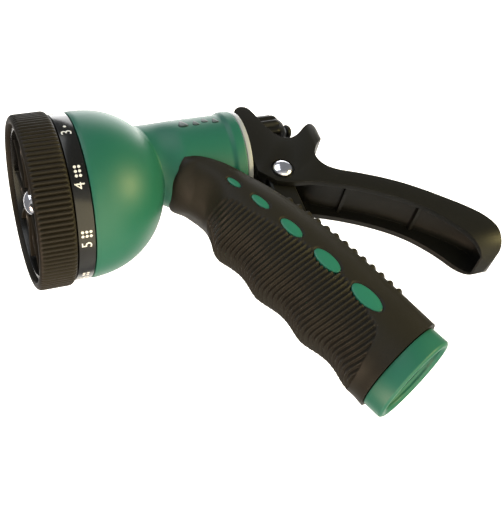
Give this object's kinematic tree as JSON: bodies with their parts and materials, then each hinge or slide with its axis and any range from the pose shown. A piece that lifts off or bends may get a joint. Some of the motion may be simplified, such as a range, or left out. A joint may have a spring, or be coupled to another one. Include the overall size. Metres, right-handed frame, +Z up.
{
  "type": "hose spray nozzle",
  "caption": "Pistol-grip garden hose nozzle: turret dial of spray patterns, bell housing, spring valve with squeeze lever, ribbed grip and threaded hose inlet.",
  "frame": {"origin": "centre of the hose inlet's mouth, at the foot of the grip", "axes": "+X from the spray face to the rear along the dial's axis, +Z up, y = 0 the plane of symmetry"},
  "size_m": [0.1584, 0.0596, 0.1317],
  "materials": {
    "green_plastic": "satin moulded plastic",
    "grip_rubber": "matt soft-touch rubber",
    "gloss_black_plastic": "glossy moulded plastic",
    "satin_black_plastic": "satin moulded plastic",
    "bright_metal": "bright plated",
    "steel": "brushed",
    "brass": "turned",
    "pale_plastic": "satin acetal",
    "seal_rubber": "matt"
  },
  "bodies": {
    "housing": {"valve_body": "green_plastic", "grip_sleeve": "grip_rubber", "bell_housing": "green_plastic", "port_plate": "satin_black_plastic", "port_seal": "seal_rubber", "transfer_seal": "seal_rubber", "valve_seat": "brass", "selector_screw": "bright_metal", "selector_washer": "steel", "inlet_screen": "steel", "hose_washer": "seal_rubber", "rear_bonnet": "gloss_black_plastic", "bonnet_seal": "seal_rubber", "stem_seal": "seal_rubber", "seal_retainer": "brass", "valve_spring": "steel", "lever_bracket": "satin_black_plastic", "pivot_rivet": "bright_metal"},
    "selector": {"dial_grip_ring": "grip_rubber", "dial_body": "gloss_black_plastic", "dial_face": "satin_black_plastic", "cone_insert": "pale_plastic", "flat_insert": "pale_plastic", "full_insert": "pale_plastic", "jet_insert": "pale_plastic", "mist_insert": "pale_plastic", "shower_insert": "pale_plastic", "soaker_insert": "pale_plastic", "centre_insert": "pale_plastic", "angle_insert": "pale_plastic"},
    "lever": {"lever": "satin_black_plastic"},
    "stem": {"valve_stem": "steel", "poppet_washer": "seal_rubber", "poppet_plate": "brass", "thrust_washer": "pale_plastic"},
    "nut": {"adjusting_nut": "satin_black_plastic"},
    "detent": {"detent_ball": "steel"}
  },
  "joints": [
    {"name": "selector_turn", "type": "hinge", "parent": "housing", "child": "selector", "pos_m": [-0.1, 0, 0.0948], "axis": [1, 0, 0], "continuous": true},
    {"name": "lever_squeeze", "type": "hinge", "parent": "housing", "child": "lever", "pos_m": [-0.0173, 0, 0.0852], "axis": [0, 1, 0], "range_deg": [0, 12], "stiffness_Nm_per_rad": 1.5, "springref_deg": -17.19},
    {"name": "stem_slide", "type": "slide", "parent": "housing", "child": "stem", "axis": [1, 0, 0], "range_m": [0, 0.0056], "deforming": ["valve_spring"]},
    {"name": "nut_turn", "type": "hinge", "parent": "stem", "child": "nut", "pos_m": [-0.013, 0, 0.1098], "axis": [1, 0, 0], "continuous": true},
    {"name": "detent_click", "type": "slide", "parent": "housing", "child": "detent", "axis": [1, 0, 0], "range_m": [0, 0.0005], "stiffness_N_per_m": 2000, "springref_m": -0.001}
  ],
  "couplings": [
    {"joint": "stem_slide", "follows": "lever_squeeze", "m_per_rad": 0.0258}
  ]
}
